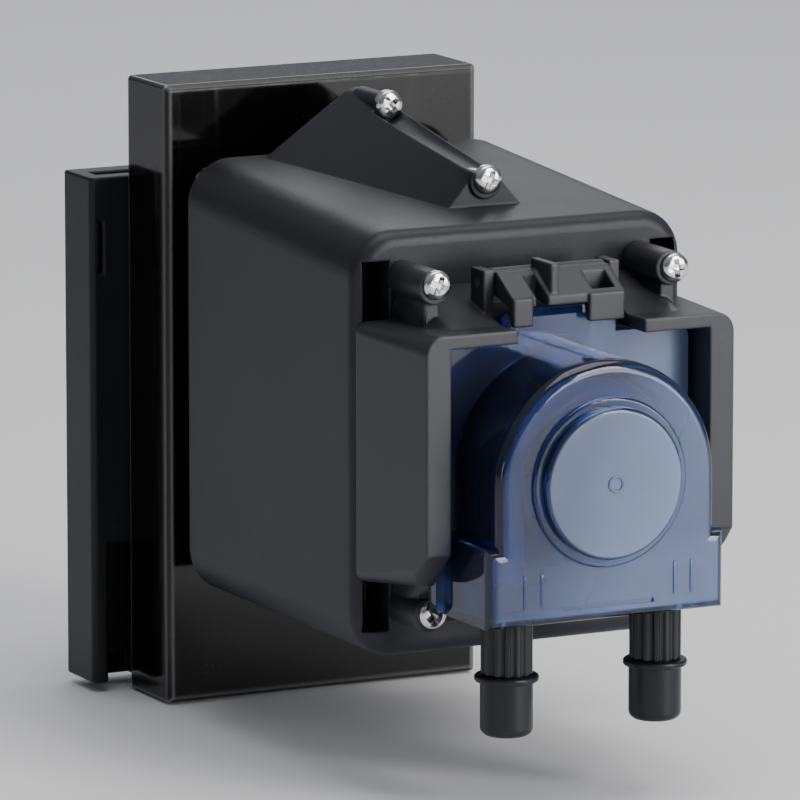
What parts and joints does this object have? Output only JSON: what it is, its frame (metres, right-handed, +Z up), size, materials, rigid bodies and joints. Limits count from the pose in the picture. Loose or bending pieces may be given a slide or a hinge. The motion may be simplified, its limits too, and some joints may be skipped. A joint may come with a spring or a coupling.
{
  "type": "peristaltic pump",
  "caption": "Wall-mounted peristaltic dosing pump: case with gear motor, framed roller head under a see-through cover, two bottom ports, slide-in bracket.",
  "frame": {"origin": "on the wall bracket's rear face, in line with the drive shaft", "axes": "+Z up, +Y into the wall, the pump head faces -Y"},
  "size_m": [0.1203, 0.2048, 0.1664],
  "materials": {
    "black_gloss": "deep gloss black moulding",
    "black_satin": "satin black moulding",
    "grey_case": "dark grey satin moulding with a fine texture",
    "steel": "bright zinc-plated screw steel",
    "blue_clear": "smoke-blue see-through moulding",
    "tube_rubber": "pale translucent pump tube",
    "port_black": "black port moulding",
    "motor_steel": "drawn motor can",
    "copper_iron": "varnished winding",
    "acetal": "natural acetal gears and rollers",
    "bronze": "sintered bronze",
    "zinc_plate": "plated gear plates",
    "board_green": "circuit board",
    "gasket_rubber": "black seal"
  },
  "bodies": {
    "bracket": {"wall_bracket": "black_satin"},
    "pump": {"slide_plate": "black_satin", "slide_plate_screws": "steel", "mounting_plate": "black_gloss", "plate_screws": "steel", "back_cover": "black_satin", "cover_screws": "steel", "housing_gasket": "gasket_rubber", "housing": "grey_case", "ridge_screws": "steel", "front_bezel": "grey_case", "bezel_screws": "steel", "latch_pin": "steel", "motor_can": "motor_steel", "motor_end_cap": "black_satin", "motor_stator": "motor_steel", "gear_plate_rear": "zinc_plate", "gear_plate_front": "zinc_plate", "gear_standoffs": "zinc_plate", "gear_spacers": "zinc_plate", "inner_bush": "bronze", "outer_bush": "bronze", "control_board": "board_green", "board_spacers": "acetal", "terminal_block": "black_satin", "head_base": "black_satin", "pump_tube": "tube_rubber", "inlet_port": "port_black", "outlet_port": "port_black", "cable_gland": "black_satin", "gland_nut": "black_satin", "gland_cap": "black_satin"},
    "rotor": {"output_wheel": "acetal", "drive_shaft": "steel", "carrier_rear": "black_satin", "carrier_front": "black_satin", "roller_pins": "steel", "hub_screw": "steel"},
    "roller_1": {"roller_1": "acetal"},
    "roller_2": {"roller_2": "acetal"},
    "roller_3": {"roller_3": "acetal"},
    "countershaft": {"counter_wheel": "acetal", "counter_pinion": "bronze", "counter_shaft": "steel"},
    "motor_rotor": {"armature": "copper_iron", "motor_shaft": "steel", "motor_pinion": "bronze"},
    "cover": {"head_cover": "blue_clear"},
    "latch": {"cover_latch": "grey_case"},
    "inlet_nut": {"inlet_nut": "port_black"},
    "outlet_nut": {"outlet_nut": "port_black"}
  },
  "joints": [
    {"name": "bracket_slide", "type": "slide", "parent": "bracket", "child": "pump", "axis": [0, 0, 1], "range_m": [0, 0.14]},
    {"name": "rotor_spin", "type": "hinge", "parent": "pump", "child": "rotor", "pos_m": [0, -0.1868, 0], "axis": [0, 1, 0], "continuous": true},
    {"name": "roller_1_spin", "type": "hinge", "parent": "rotor", "child": "roller_1", "pos_m": [0, -0.1868, 0.0105], "axis": [0, 1, 0], "continuous": true},
    {"name": "roller_2_spin", "type": "hinge", "parent": "rotor", "child": "roller_2", "pos_m": [-0.00909, -0.1868, -0.00525], "axis": [0, 1, 0], "continuous": true},
    {"name": "roller_3_spin", "type": "hinge", "parent": "rotor", "child": "roller_3", "pos_m": [0.00909, -0.1868, -0.00525], "axis": [0, 1, 0], "continuous": true},
    {"name": "countershaft_spin", "type": "hinge", "parent": "pump", "child": "countershaft", "pos_m": [0, -0.13135, 0.024], "axis": [0, 1, 0], "continuous": true},
    {"name": "motor_spin", "type": "hinge", "parent": "pump", "child": "motor_rotor", "pos_m": [0, -0.0931, 0], "axis": [0, 1, 0], "continuous": true},
    {"name": "cover_slide", "type": "slide", "parent": "pump", "child": "cover", "axis": [0, -1, 0], "range_m": [0, 0.012]},
    {"name": "latch_lift", "type": "hinge", "parent": "pump", "child": "latch", "pos_m": [0, -0.1671, 0.047], "axis": [-1, 0, 0], "range_deg": [0, 60.1]},
    {"name": "inlet_nut_turn", "type": "hinge", "parent": "pump", "child": "inlet_nut", "pos_m": [-0.0212, -0.1868, -0.0576], "axis": [0, 0, 1], "range_deg": [0, 360]},
    {"name": "outlet_nut_turn", "type": "hinge", "parent": "pump", "child": "outlet_nut", "pos_m": [0.0212, -0.1868, -0.0576], "axis": [0, 0, 1], "range_deg": [0, 360]}
  ],
  "couplings": [
    {"joint": "roller_1_spin", "follows": "motor_spin", "ratio": -0.16835},
    {"joint": "roller_2_spin", "follows": "motor_spin", "ratio": -0.16835},
    {"joint": "roller_3_spin", "follows": "motor_spin", "ratio": -0.16835},
    {"joint": "countershaft_spin", "follows": "motor_spin", "ratio": -0.25},
    {"joint": "rotor_spin", "follows": "motor_spin", "ratio": 0.0625},
    {"joint": "latch_lift", "follows": "cover_slide", "rad_per_m": 87.266}
  ]
}
